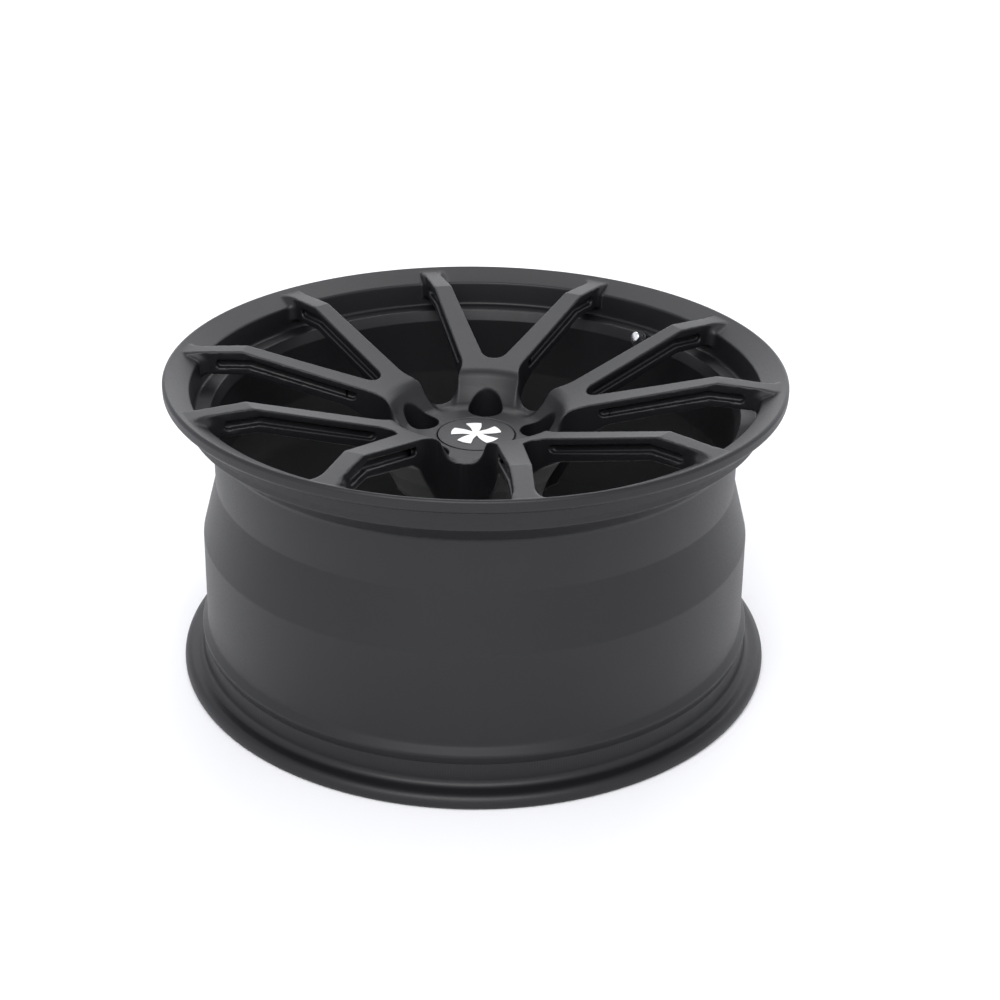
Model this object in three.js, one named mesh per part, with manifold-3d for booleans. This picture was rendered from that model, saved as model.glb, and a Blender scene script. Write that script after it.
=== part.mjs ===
// A 20 x 10J forged one-piece racing wheel lying on its inner flange, face up.
// Millimetres, +Z up along the wheel's axis. The origin is on the axis, in the plane that it rests on.
import * as THREE from 'three';
import { mergeVertices } from 'three/addons/utils/BufferGeometryUtils.js';
import Module from 'manifold-3d';

const wasm = await Module();
wasm.setup();

// ---- Driving dimensions ----
const FLANGE_RADIUS = 271.4;      // over the J flanges: 507.6 mm bead diameter and 17.6 mm flanges
const BEAD_RADIUS = 253.8;        // 20 inch bead seat
const RIM_WIDTH = 254;            // 10 inches between the bead faces
const FLANGE_THICKNESS = 11.75;
const OVERALL_WIDTH = RIM_WIDTH + 2 * FLANGE_THICKNESS;
const OFFSET = 30;                // mounting face, towards the face from the rim's centre plane
const SPOKE_PAIRS = 5;
const GAP = 0.3;                  // between pieces that touch on the real object

// Depths are measured down from the wheel's face plane, the top of the outer lip.
const PAD_DEPTH = 68;             // flat round pad that the cap and the lug holes sit in
const MOUNT_DEPTH = OVERALL_WIDTH / 2 - OFFSET;
const LUG_CIRCLE_RADIUS = 56;     // 5 x 112
const LUG_SOCKET_RADIUS = 15.5;
const LUG_SOCKET_DEPTH = 92;
const LUG_HOLE_RADIUS = 7.25;
const CENTRE_BORE_RADIUS = 33.3;
const MOUNT_PAD_RADIUS = 76;
const PAD_RADIUS = 62;

const KINK_RADIUS = 210.2;        // where each spoke's face bends
const KINK_DEPTH = 0.5;
const FACE_SLOPE = 0.299;         // fall of the spoke's face from the kink to the root
const SPOKE_END_SLOPE = 0.0354;   // fall of its short outer part, from the kink to the lip
const SPOKE_DEPTH = 22.3;         // face to underside
const UNDERSIDE_BEND = 206;       // beyond this radius the underside runs level
const UNDERSIDE_DEPTH = 22.8;
const SPOKE_START = 118;          // hub and spokes are cut apart at this radius
const SPOKE_END = 261.5;
const POCKET_START = 109;
const POCKET_END = 234;
const POCKET_TOP = 6.2;           // side pocket, below the spoke's face
const POCKET_BOTTOM = 13.8;
const POCKET_BEND = 204;          // beyond this radius the pocket runs level
const POCKET_END_TOP = 9.7;
const POCKET_END_BOTTOM = 16.4;
const POCKET_SIDE_DEPTH = 5;

// Spoke edges in plan, in one pair's frame: u is across the pair's axis, v is outwards along it.
const INNER_EDGE = { u: 56.7, v: 202.4, lean: 0.4749 };
const OUTER_EDGE = { u: 73.4, v: 197.0, lean: 0.4300 };
const NOTCH_RADIUS = 12.9;        // round root of the window inside a pair
const GAP_RADIUS = 32.96;         // round root of the window between two pairs
const GAP_CENTRE = 102.46;
const WINDOW_END = 140;           // the hub's windows are cut out to here, past its edge
const END_FILLET = 9;             // plan fillet where a spoke meets the lip

// Cutting shapes run past the metal by these lengths.
const CUT_BELOW = 130;
const CUT_ABOVE = 20;
const CUT_PAST = 5;

// ---- Geometry helpers ----
const solidOf = (geometry) => {
  const plain = geometry.index ? geometry.toNonIndexed() : geometry.clone();
  plain.deleteAttribute('normal');
  plain.deleteAttribute('uv');
  const merged = mergeVertices(plain, 1e-4);
  const vertProperties = new Float32Array(merged.attributes.position.array);
  const triVerts = new Uint32Array(merged.index.array);
  return new wasm.Manifold(new wasm.Mesh({ numProp: 3, vertProperties, triVerts }));
};

const geometryOf = (solid) => {
  const mesh = solid.getMesh();
  const geometry = new THREE.BufferGeometry();
  geometry.setAttribute('position', new THREE.BufferAttribute(new Float32Array(mesh.vertProperties), 3));
  geometry.setIndex(new THREE.BufferAttribute(new Uint32Array(mesh.triVerts), 1));
  geometry.computeVertexNormals();
  return geometry;
};

// Turns a closed (radius, height) outline about the Z axis.
const turn = (points, segments) => {
  const outline = points.map(([radius, height]) => new THREE.Vector2(radius, height));
  const area = THREE.ShapeUtils.area(outline);
  if (area < 0) outline.reverse();
  const onAxis = outline.findIndex((point) => point.x === 0);
  if (onAxis < 0) {
    outline.push(outline[0].clone());
  } else {
    while (!(outline[0].x === 0 && outline[outline.length - 1].x === 0)) outline.push(outline.shift());
  }
  return new THREE.LatheGeometry(outline, segments).rotateX(Math.PI / 2);
};

// A closed outline given as (radius, depth below the face plane).
const turnDepths = (points, segments) =>
  turn(points.map(([radius, depth]) => [radius, OVERALL_WIDTH - depth]), segments);

const extrudeUp = (shape, from, to, curveSegments = 8) =>
  new THREE.ExtrudeGeometry(shape, { depth: to - from, bevelEnabled: false, curveSegments })
    .translate(0, 0, from);

const shapeFrom = (points) => new THREE.Shape(points.map(([x, y]) => new THREE.Vector2(x, y)));

const mirrorU = (points) => points.map(([u, v]) => [-u, v]).reverse();

const arcPoints = (centreU, centreV, radius, fromDegrees, toDegrees, steps) => {
  const points = [];
  for (let i = 0; i <= steps; i += 1) {
    const angle = THREE.MathUtils.degToRad(fromDegrees + ((toDegrees - fromDegrees) * i) / steps);
    points.push([centreU + radius * Math.cos(angle), centreV + radius * Math.sin(angle)]);
  }
  return points;
};

const edgeU = (edge, v) => edge.u + (v - edge.v) * edge.lean;
const spokeFaceDepth = (radius) =>
  radius < KINK_RADIUS
    ? KINK_DEPTH + (KINK_RADIUS - radius) * FACE_SLOPE
    : KINK_DEPTH + (radius - KINK_RADIUS) * SPOKE_END_SLOPE;

const LATHE_STEPS = 120;

// ---- Materials ----
const surface = (color, roughness, metalness) =>
  new THREE.MeshStandardMaterial({ color, roughness, metalness });
const satinBlack = () => surface(0x2c2c2e, 0.5, 0.3);
const capBlack = () => surface(0x2a2a2c, 0.55, 0.1);
const emblemWhite = () => surface(0xf2f2f0, 0.4, 0);
const rubber = () => surface(0x101011, 0.85, 0);
const anodisedBlack = () => surface(0x1c1c1e, 0.4, 0.6);
const brightMetal = () => surface(0xc8c9cc, 0.25, 1);
const brass = () => surface(0xb59a55, 0.35, 1);
const springSteel = () => surface(0x9a9ca0, 0.35, 1);

const wheel = new THREE.Group();
const addMesh = (parent, name, geometry, material) => {
  const mesh = new THREE.Mesh(geometry, material);
  mesh.name = name;
  parent.add(mesh);
  return mesh;
};

const pairAngle = (index) => (index * 2 * Math.PI) / SPOKE_PAIRS;

// ---- Barrel: the outer ring with both flanges, bead seats, humps and drop centre ----
const RIM_STEPS = 60;
const WALL_RADIUS = 246.6;        // the spokes meet the barrel's inner wall here
const LIP_TOP = { radius: 266.6, depth: 1 };
const LIP_FOOT = { radius: 249.2, depth: 10.5 };
const LIP_SLOPE = (LIP_FOOT.depth - LIP_TOP.depth) / (LIP_TOP.radius - LIP_FOOT.radius);
const lipDepth = (radius) => LIP_TOP.depth + (LIP_TOP.radius - radius) * LIP_SLOPE;
const tyreSide = [
  [268.4, 0], [270.6, 0.9], [FLANGE_RADIUS, 3.2], [FLANGE_RADIUS, 7], [270.2, 10.4],
  [267, FLANGE_THICKNESS], [260.3, FLANGE_THICKNESS], [255.7, 13.7], [BEAD_RADIUS, 18.2],
  [252.8, 29], [253.6, 32], [252, 35], [235.2, 49.9], [232.3, 55.5],
  [232.3, 97], [233.4, 102], [244.8, 143.5], [246.2, 150], [247.6, 212], [248.4, 224],
  [253.2, 233.5], [252, 242], [BEAD_RADIUS, 259.3], [255.7, 263.8],
  [260.3, OVERALL_WIDTH - FLANGE_THICKNESS], [267, OVERALL_WIDTH - FLANGE_THICKNESS], [270.2, 267.1],
  [FLANGE_RADIUS, 270.5], [FLANGE_RADIUS, 274.3], [268.4, OVERALL_WIDTH],
];
const openSide = [
  [264.4, OVERALL_WIDTH], [252.5, 269.5], [248.8, 262.5], [247.6, 240], [242.8, 222],
  [241.6, 150], [228.9, 104], [228.3, 98], [228.3, 44.6], [229.2, 42], [232.8, 33.6],
  [243.5, 33], [WALL_RADIUS, 30.8], [248.2, 12.4], [LIP_FOOT.radius, LIP_FOOT.depth],
  [LIP_TOP.radius, LIP_TOP.depth],
];

// The valve leaves the wall between two spoke pairs, leaning up from the wheel's plane.
const VALVE = { azimuth: 54, lean: 25, radius: 230.8, depth: 38 };
// Cuts along the valve's axis: the hole, the spot face under the nut and the seat of the rubber seal.
const VALVE_CUTS = [
  { radius: 5.8, from: -20, to: 8, segments: 20 },
  { radius: 11, from: -2.5, to: 14, segments: 28 },
  { radius: 9.2, from: -20, to: -10.1, segments: 24 },
];
const valveFrame = () => {
  const azimuth = THREE.MathUtils.degToRad(VALVE.azimuth);
  const lean = THREE.MathUtils.degToRad(VALVE.lean);
  const out = new THREE.Vector3(Math.cos(azimuth), Math.sin(azimuth), 0);
  const axis = out.clone().multiplyScalar(-Math.cos(lean));
  axis.z = Math.sin(lean);
  const group = new THREE.Group();
  group.position.copy(out.multiplyScalar(VALVE.radius));
  group.position.z = OVERALL_WIDTH - VALVE.depth;
  group.quaternion.setFromUnitVectors(new THREE.Vector3(0, 0, 1), axis);
  group.updateMatrix();
  return group;
};
const alongValve = ({ radius, from, to, segments }) =>
  solidOf(
    new THREE.CylinderGeometry(radius, radius, to - from, segments)
      .rotateX(Math.PI / 2)
      .translate(0, 0, (from + to) / 2)
      .applyMatrix4(valveFrame().matrix),
  );

const makeBarrel = () => {
  const turned = solidOf(turnDepths([...tyreSide, ...openSide], RIM_STEPS));
  return VALVE_CUTS.reduce((barrel, cut) => barrel.subtract(alongValve(cut)), turned);
};

// The barrel is drawn as six rings, one above another. Depths.
const RIM_BANDS = [
  { name: 'outer_flange', from: 0, to: 13.7 },
  { name: 'outer_bead_seat', from: 13.7, to: 56 },
  { name: 'drop_centre', from: 56, to: 84 },
  { name: 'inner_barrel', from: 84, to: 226 },
  { name: 'inner_bead_seat', from: 226, to: 263.5 },
  { name: 'inner_flange', from: 263.5, to: OVERALL_WIDTH },
];
const BAND_STEPS = 12;
const bandSolid = ({ from, to }) => {
  const top = from === 0 ? -CUT_PAST : from + GAP;
  const bottom = to === OVERALL_WIDTH ? OVERALL_WIDTH + CUT_PAST : to;
  const reach = (FLANGE_RADIUS + CUT_PAST) / Math.cos(Math.PI / BAND_STEPS);
  return solidOf(turnDepths([[0, top], [reach, top], [reach, bottom], [0, bottom]], BAND_STEPS));
};

// ---- Wheel disc: the turned section that the hub and the spokes are milled from ----
const undersideDepth = (radius) =>
  radius > UNDERSIDE_BEND ? UNDERSIDE_DEPTH : spokeFaceDepth(radius) + SPOKE_DEPTH;

const spokeRing = () =>
  solidOf(
    turnDepths(
      [
        [SPOKE_START + GAP, spokeFaceDepth(SPOKE_START + GAP)],
        [KINK_RADIUS, KINK_DEPTH],
        [WALL_RADIUS - GAP, spokeFaceDepth(WALL_RADIUS - GAP)],
        [WALL_RADIUS - GAP, UNDERSIDE_DEPTH],
        [UNDERSIDE_BEND, UNDERSIDE_DEPTH],
        [SPOKE_START + GAP, undersideDepth(SPOKE_START + GAP)],
      ],
      LATHE_STEPS,
    ),
  );

// The end of each spoke lies over the lip's cone.
const WEDGE_START = WALL_RADIUS - 6;
const WEDGE_DEPTH = 12;
const WALL_TOP_RADIUS = 248.8;
const lipWedge = () =>
  solidOf(
    turnDepths(
      [
        [WEDGE_START, spokeFaceDepth(WEDGE_START)],
        [SPOKE_END, spokeFaceDepth(SPOKE_END)],
        [SPOKE_END, lipDepth(SPOKE_END) - GAP],
        [WALL_TOP_RADIUS, lipDepth(WALL_TOP_RADIUS) - GAP],
        [WALL_RADIUS - GAP, WEDGE_DEPTH],
        [WEDGE_START, WEDGE_DEPTH],
      ],
      LATHE_STEPS,
    ),
  );

// Side pockets, milled parallel to the spoke's face.
const pocketRing = () =>
  solidOf(
    turnDepths(
      [
        [POCKET_START, spokeFaceDepth(POCKET_START) + POCKET_TOP],
        [POCKET_BEND, spokeFaceDepth(POCKET_BEND) + POCKET_TOP],
        [POCKET_END, POCKET_END_TOP],
        [POCKET_END, POCKET_END_BOTTOM],
        [POCKET_BEND, spokeFaceDepth(POCKET_BEND) + POCKET_BOTTOM],
        [POCKET_START, spokeFaceDepth(POCKET_START) + POCKET_BOTTOM],
      ],
      LATHE_STEPS,
    ),
  );

// Fillet between a spoke's edge and the barrel's wall, in plan.
// Side is +1 for the outer edge, -1 for the inner.
const endFillet = (edge, side) => {
  const along = new THREE.Vector2(edge.lean, 1).normalize();
  const across = new THREE.Vector2(along.y, -along.x).multiplyScalar(side);
  const start = new THREE.Vector2(edge.u, edge.v).addScaledVector(across, END_FILLET);
  const reach = WALL_RADIUS - END_FILLET;
  const half = start.dot(along);
  const slide = -half + Math.sqrt(half * half - start.lengthSq() + reach * reach);
  const centre = start.addScaledVector(along, slide);
  const fromEdge = Math.atan2(-across.y, -across.x);
  let toWall = Math.atan2(centre.y, centre.x);
  while (toWall - fromEdge > Math.PI) toWall -= 2 * Math.PI;
  while (toWall - fromEdge < -Math.PI) toWall += 2 * Math.PI;
  const degrees = THREE.MathUtils.radToDeg;
  return arcPoints(centre.x, centre.y, END_FILLET, degrees(fromEdge), degrees(toWall), 4);
};

const PLAN_START = 100;           // inside the radius that the spokes are cut off at
const spokePlan = () => [
  [edgeU(INNER_EDGE, PLAN_START), PLAN_START],
  ...endFillet(INNER_EDGE, -1),
  ...endFillet(OUTER_EDGE, 1).reverse(),
  [edgeU(OUTER_EDGE, PLAN_START), PLAN_START],
];

// The space between a spoke's two edges, drawn in from each by the inset.
const barePlan = (inset, startV, endV) => [
  [edgeU(INNER_EDGE, startV) + inset, startV],
  [edgeU(INNER_EDGE, endV) + inset, endV],
  [edgeU(OUTER_EDGE, endV) - inset, endV],
  [edgeU(OUTER_EDGE, startV) - inset, startV],
];

const planSolid = (points) =>
  solidOf(extrudeUp(shapeFrom(points), OVERALL_WIDTH - CUT_BELOW, OVERALL_WIDTH + CUT_ABOVE));

// Both side pockets of one spoke: all of the pocket's ring except the web left between them.
const pocketPair = (startV, endV, arrange) => {
  const whole = planSolid(arrange(barePlan(-CUT_ABOVE, startV, endV)));
  const web = planSolid(arrange(barePlan(POCKET_SIDE_DEPTH, startV - CUT_PAST, endV + CUT_PAST)));
  return whole.subtract(web).intersect(pocketRing());
};
const asDrawn = (points) => points;

// One spoke of a pair, leaning to +u; the other is its mirror image.
const POCKET_PLAN = { start: 90, end: 250 };
const WEDGE_PLAN = { start: 200, end: 262 };
const makeSpoke = (arrange) => {
  const wedge = planSolid(arrange(barePlan(0, WEDGE_PLAN.start, WEDGE_PLAN.end))).intersect(lipWedge());
  return planSolid(arrange(spokePlan()))
    .intersect(spokeRing())
    .add(wedge)
    .subtract(pocketPair(POCKET_PLAN.start, POCKET_PLAN.end, arrange));
};

// ---- Hub: mounting pad, centre bore, lug holes and the roots of the five spoke pairs ----
const CAP_RECESS_RADIUS = 35.1;
const CAP_RECESS_DEPTH = 71.6;
const CAP_NECK_RADIUS = 30.6;
const CAP_NECK_DEPTH = 78;

const hubSection = () => [
  [CENTRE_BORE_RADIUS, MOUNT_DEPTH], [CENTRE_BORE_RADIUS, CAP_NECK_DEPTH], [CAP_NECK_RADIUS, CAP_NECK_DEPTH],
  [CAP_NECK_RADIUS, CAP_RECESS_DEPTH], [CAP_RECESS_RADIUS, CAP_RECESS_DEPTH], [CAP_RECESS_RADIUS, PAD_DEPTH],
  [PAD_RADIUS, PAD_DEPTH], [64.4, 66.6], [71, 54.4], [77.6, 42.8], [82, 39.2], [89, spokeFaceDepth(89)],
  [SPOKE_START, spokeFaceDepth(SPOKE_START)], [SPOKE_START, undersideDepth(SPOKE_START)],
  [104, 60], [88, 84], [78, 104], [MOUNT_PAD_RADIUS, MOUNT_DEPTH],
];

// Window between two pairs, in a frame whose v axis runs out along its middle.
const gapWindow = () => {
  const lean = Math.tan(Math.PI / SPOKE_PAIRS - Math.atan(OUTER_EDGE.lean));
  const angle = Math.PI / SPOKE_PAIRS - Math.atan2(OUTER_EDGE.u, OUTER_EDGE.v);
  const reach = Math.hypot(OUTER_EDGE.u, OUTER_EDGE.v);
  const edge = { u: reach * Math.sin(angle), v: reach * Math.cos(angle), lean };
  const tilt = THREE.MathUtils.radToDeg(Math.atan(lean));
  return [
    ...arcPoints(0, GAP_CENTRE, GAP_RADIUS, 180 + tilt, 360 - tilt, 14),
    [edgeU(edge, WINDOW_END), WINDOW_END],
    [-edgeU(edge, WINDOW_END), WINDOW_END],
  ];
};

// Window inside a pair.
const pairWindow = () => {
  const tilt = THREE.MathUtils.radToDeg(Math.atan(INNER_EDGE.lean));
  const apex = INNER_EDGE.v - INNER_EDGE.u / INNER_EDGE.lean;
  const centre = apex + NOTCH_RADIUS / Math.sin(Math.atan(INNER_EDGE.lean));
  return [
    ...arcPoints(0, centre, NOTCH_RADIUS, 180 + tilt, 360 - tilt, 10),
    [edgeU(INNER_EDGE, WINDOW_END), WINDOW_END],
    [-edgeU(INNER_EDGE, WINDOW_END), WINDOW_END],
  ];
};

const upright = (radiusTop, radiusBottom, topDepth, bottomDepth, segments) =>
  new THREE.CylinderGeometry(radiusTop, radiusBottom, bottomDepth - topDepth, segments)
    .rotateX(Math.PI / 2)
    .translate(0, LUG_CIRCLE_RADIUS, OVERALL_WIDTH - (topDepth + bottomDepth) / 2);

const HUB_STEPS = 80;
const LUG_STEPS = 32;
const LUG_SEAT = { radius: 11.9, depth: 8, overlap: 0.02 };
const makeLug = () => {
  const seatTop = LUG_SOCKET_DEPTH - LUG_SEAT.overlap;
  const seatBottom = LUG_SOCKET_DEPTH + LUG_SEAT.depth;
  const holeBottom = MOUNT_DEPTH + CUT_PAST;
  const socket = upright(LUG_SOCKET_RADIUS, LUG_SOCKET_RADIUS, CUT_ABOVE, LUG_SOCKET_DEPTH, LUG_STEPS);
  const seat = upright(LUG_SEAT.radius, LUG_HOLE_RADIUS, seatTop, seatBottom, LUG_STEPS);
  const hole = upright(LUG_HOLE_RADIUS, LUG_HOLE_RADIUS, LUG_SOCKET_DEPTH, holeBottom, LUG_STEPS);
  return solidOf(socket).add(solidOf(seat)).add(solidOf(hole));
};

const makeHub = () => {
  let hub = solidOf(turnDepths(hubSection(), HUB_STEPS));
  const gap = planSolid(gapWindow());
  const pair = planSolid(pairWindow());
  const pocket = pocketPair(POCKET_PLAN.start, WINDOW_END, asDrawn);
  const pocketMirror = pocketPair(POCKET_PLAN.start, WINDOW_END, mirrorU);
  const lug = makeLug();
  for (let i = 0; i < SPOKE_PAIRS; i += 1) {
    const turned = (solid, extra) => solid.rotate([0, 0, (i + extra) * (360 / SPOKE_PAIRS)]);
    hub = hub.subtract(turned(gap, 0.5)).subtract(turned(pair, 0)).subtract(turned(lug, 0));
    hub = hub.subtract(turned(pocket, 0)).subtract(turned(pocketMirror, 0));
  }
  return hub;
};

const barrel = makeBarrel();
RIM_BANDS.forEach((band) => {
  addMesh(wheel, band.name, geometryOf(barrel.intersect(bandSolid(band))), satinBlack());
});
addMesh(wheel, 'hub', geometryOf(makeHub()), satinBlack());
const spokeShapes = [makeSpoke(asDrawn), makeSpoke(mirrorU)].map(geometryOf);
for (let i = 0; i < SPOKE_PAIRS; i += 1) {
  spokeShapes.forEach((shape, side) => {
    const number = String(2 * i + side + 1).padStart(2, '0');
    const spoke = addMesh(wheel, `spoke_${number}`, shape, satinBlack());
    spoke.rotation.z = pairAngle(i);
  });
}

// ---- Centre cap: snaps into the hub from the face ----
const CAP_RADIUS = 34.4;
const CAP_STEPS = 60;
const CAP_LEGS = 6;
const CAP_SLOT = { width: 8, length: 40, height: 14, out: 36, depth: 80.2 };
const makeCapBody = () => {
  let cap = solidOf(
    turnDepths(
      [
        [0, PAD_DEPTH], [33.9, PAD_DEPTH], [CAP_RADIUS, 68.5], [CAP_RADIUS, 71.2], [30.2, 71.2],
        [30.2, 84], [29.4, 85], [28.2, 85], [28.2, 71.2], [0, 71.2],
      ],
      CAP_STEPS,
    ),
  );
  const box = new THREE.BoxGeometry(CAP_SLOT.width, CAP_SLOT.length, CAP_SLOT.height);
  const slot = solidOf(box.translate(0, CAP_SLOT.out, OVERALL_WIDTH - CAP_SLOT.depth));
  for (let i = 0; i < CAP_LEGS; i += 1) cap = cap.subtract(slot.rotate([0, 0, i * (360 / CAP_LEGS)]));
  return cap;
};

const CAP_RING = { radius: 27.3, wire: 0.6, depth: 81, sides: 6, steps: 36 };
const ringProfile = ({ radius, wire, depth, sides }) => {
  const points = [];
  for (let i = 0; i < sides; i += 1) {
    const angle = (i * 2 * Math.PI) / sides;
    points.push([radius + wire * Math.cos(angle), depth + wire * Math.sin(angle)]);
  }
  return points;
};

// The emblem is a pinwheel: each blade's edge sweeps out, follows the rim and drops back to a notch.
const EMBLEM_RADIUS = 22.5;
const EMBLEM_HUB = 4.5;
const EMBLEM_NOTCH = 12;
const EMBLEM_BLADES = 5;
const EMBLEM_THICKNESS = 0.5;
const BLADE_EDGE = { steps: 5, degrees: 3 };
const BLADE_RIM = { steps: 4, degrees: 9 };
const NOTCH_AT = 50;
const emblemShape = () => {
  const points = [];
  const sweep = 360 / EMBLEM_BLADES;
  const polar = (radius, degrees) => {
    const angle = THREE.MathUtils.degToRad(degrees);
    points.push([radius * Math.cos(angle), radius * Math.sin(angle)]);
  };
  for (let i = 0; i < EMBLEM_BLADES; i += 1) {
    const start = i * sweep;
    const rimStart = start + BLADE_EDGE.steps * BLADE_EDGE.degrees;
    for (let j = 0; j <= BLADE_EDGE.steps; j += 1) {
      const radius = EMBLEM_HUB + ((EMBLEM_RADIUS - EMBLEM_HUB) * j) / BLADE_EDGE.steps;
      polar(radius, start + BLADE_EDGE.degrees * j);
    }
    for (let j = 1; j <= BLADE_RIM.steps; j += 1) polar(EMBLEM_RADIUS, rimStart + BLADE_RIM.degrees * j);
    polar(EMBLEM_NOTCH, start + NOTCH_AT);
  }
  return shapeFrom(points);
};

addMesh(wheel, 'centre_cap', geometryOf(makeCapBody()), capBlack());
addMesh(wheel, 'cap_retaining_ring', turnDepths(ringProfile(CAP_RING), CAP_RING.steps), springSteel());
const emblemBottom = OVERALL_WIDTH - PAD_DEPTH + GAP;
const emblemTop = emblemBottom + EMBLEM_THICKNESS;
addMesh(wheel, 'cap_emblem', extrudeUp(emblemShape(), emblemBottom, emblemTop), emblemWhite());

// ---- Valve, along its own axis: s is 0 at the wheel's inner wall and rises towards the cap ----
const valve = valveFrame();
wheel.add(valve);
const VALVE_STEPS = 24;
const SMALL_STEPS = 16;
const PIN_STEPS = 12;

addMesh(valve, 'valve_stem', turn([
  [1.9, -16.2], [8.7, -16.2], [8.7, -13.3], [4.1, -13.3], [4.1, 4], [3.85, 4.4], [3.85, 10],
  [2.7, 10], [2.7, -3], [1.9, -3],
], VALVE_STEPS), brass());
addMesh(valve, 'valve_seal', turn([
  [4.4, -13], [8.2, -13], [8.2, -10.4], [5.5, -10.4], [5.5, -5], [4.4, -5],
], VALVE_STEPS), rubber());
addMesh(
  valve, 'valve_washer',
  turn([[4.5, -2.2], [7.9, -2.2], [7.9, -1.2], [4.5, -1.2]], VALVE_STEPS), brightMetal(),
);

const NUT = { radius: 7.5, bore: 4.4, bottom: -0.9, top: 3.9, sides: 6 };
const hexagon = shapeFrom(arcPoints(0, 0, NUT.radius, 0, 360 * (1 - 1 / NUT.sides), NUT.sides - 1));
hexagon.holes.push(new THREE.Path().absarc(0, 0, NUT.bore, 0, 2 * Math.PI, true));
addMesh(valve, 'valve_nut', extrudeUp(hexagon, NUT.bottom, NUT.top, PIN_STEPS), anodisedBlack());

addMesh(valve, 'valve_core', turn([
  [1.75, -2.5], [2.4, -2.5], [2.4, 8.2], [0.95, 8.2], [0.95, 4], [1.75, 4],
], SMALL_STEPS), brass());
addMesh(valve, 'valve_core_pin', turn([
  [0, -5.5], [1.5, -5.5], [1.5, -4.7], [0.6, -4.7], [0.6, 9.3], [0, 9.3],
], PIN_STEPS), brass());
addMesh(
  valve, 'valve_core_seal',
  turn([[0.9, -4.4], [1.6, -4.4], [1.6, -3.4], [0.9, -3.4]], SMALL_STEPS), rubber(),
);

// The spring's turns wind round the pin inside the core.
const SPRING = { radius: 1.25, wire: 0.22, turns: 4, from: -1.6, to: 3.3, stepsPerTurn: 10, wireSteps: 3 };
class Helix extends THREE.Curve {
  getPoint(t, target = new THREE.Vector3()) {
    const angle = t * SPRING.turns * 2 * Math.PI;
    const height = SPRING.from + t * (SPRING.to - SPRING.from);
    return target.set(SPRING.radius * Math.cos(angle), SPRING.radius * Math.sin(angle), height);
  }
}
const wireSection = new THREE.Shape().absarc(0, 0, SPRING.wire, 0, 2 * Math.PI);
addMesh(valve, 'valve_core_spring', new THREE.ExtrudeGeometry(wireSection, {
  steps: SPRING.turns * SPRING.stepsPerTurn,
  curveSegments: SPRING.wireSteps,
  extrudePath: new Helix(),
}), springSteel());

addMesh(
  valve, 'valve_cap_seal',
  turn([[1.3, 10.3], [3.8, 10.3], [3.8, 11], [1.3, 11]], VALVE_STEPS), rubber(),
);
addMesh(valve, 'valve_cap', turn([
  [4.2, 4.8], [4.7, 4.8], [4.9, 5.2], [4.9, 12.4], [4.3, 13], [0, 13], [0, 11.3], [4.2, 11.3],
], VALVE_STEPS), brightMetal());

export default wheel;
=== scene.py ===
import math

import bmesh
import bpy
import numpy as np
from mathutils import Matrix, Vector


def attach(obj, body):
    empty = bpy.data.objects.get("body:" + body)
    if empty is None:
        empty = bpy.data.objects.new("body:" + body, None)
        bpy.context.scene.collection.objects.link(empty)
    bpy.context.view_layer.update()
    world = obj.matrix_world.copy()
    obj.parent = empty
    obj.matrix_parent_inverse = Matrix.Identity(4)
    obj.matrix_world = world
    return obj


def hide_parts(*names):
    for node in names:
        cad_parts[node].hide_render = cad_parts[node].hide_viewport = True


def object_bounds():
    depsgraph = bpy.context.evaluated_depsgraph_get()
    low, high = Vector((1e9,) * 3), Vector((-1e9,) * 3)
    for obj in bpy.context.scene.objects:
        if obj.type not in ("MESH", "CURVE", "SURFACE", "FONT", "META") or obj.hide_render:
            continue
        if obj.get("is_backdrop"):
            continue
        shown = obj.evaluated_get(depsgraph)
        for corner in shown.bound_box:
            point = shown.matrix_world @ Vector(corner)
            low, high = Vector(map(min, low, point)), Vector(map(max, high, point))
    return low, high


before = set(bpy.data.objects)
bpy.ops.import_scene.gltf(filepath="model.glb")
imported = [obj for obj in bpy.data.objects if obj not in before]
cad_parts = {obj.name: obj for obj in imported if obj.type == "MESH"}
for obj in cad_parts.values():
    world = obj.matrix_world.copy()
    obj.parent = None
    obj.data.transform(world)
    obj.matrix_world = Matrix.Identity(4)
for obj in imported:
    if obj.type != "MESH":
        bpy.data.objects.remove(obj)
cad_low, cad_high = (Vector(corner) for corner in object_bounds())

# ---- Sizes: every length below is in millimetres of the frame ----
WIDTH = (cad_high.z - cad_low.z) * 1000
FLANGE_RADIUS = (cad_high.x - cad_low.x) * 500
PAIRS = 5
HALF_PERIOD = math.pi / PAIRS
MM = 0.001

KINK_RADIUS, KINK_DEPTH = 210.2, 0.5
FACE_SLOPE, END_SLOPE = 0.299, 0.0354
SPOKE_THICKNESS = 22.3
UNDERSIDE_DEPTH = 22.8
HUB_RADIUS = 118
PAD_DEPTH = 68
MOUNT_DEPTH = WIDTH / 2 - 30
LUG_CIRCLE = 56
INNER_LEAN = math.atan(0.4749)
OUTER_LEAN = math.atan(0.4300)
PAIR_ROOT = (113.1, 12.9)         # centre and radius of the window inside a pair
GAP_ROOT = (102.46, 32.96)        # centre and radius of the window between two pairs
LIP_SLOPE = (10.5 - 1) / (266.6 - 249.2)
EDGE = 1.3                        # rounding on the milled edges
WALL_FILLET = 9
ARM_HALF_WIDTH = 26.5
CAP_INSET = 1.5                   # how far the hidden ends of the forging's pieces lie inside the metal


def face_depth(radius):
    if radius < KINK_RADIUS:
        return KINK_DEPTH + (KINK_RADIUS - radius) * FACE_SLOPE
    return KINK_DEPTH + (radius - KINK_RADIUS) * END_SLOPE


def lip_depth(radius):
    return 1 + (266.6 - radius) * LIP_SLOPE


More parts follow.
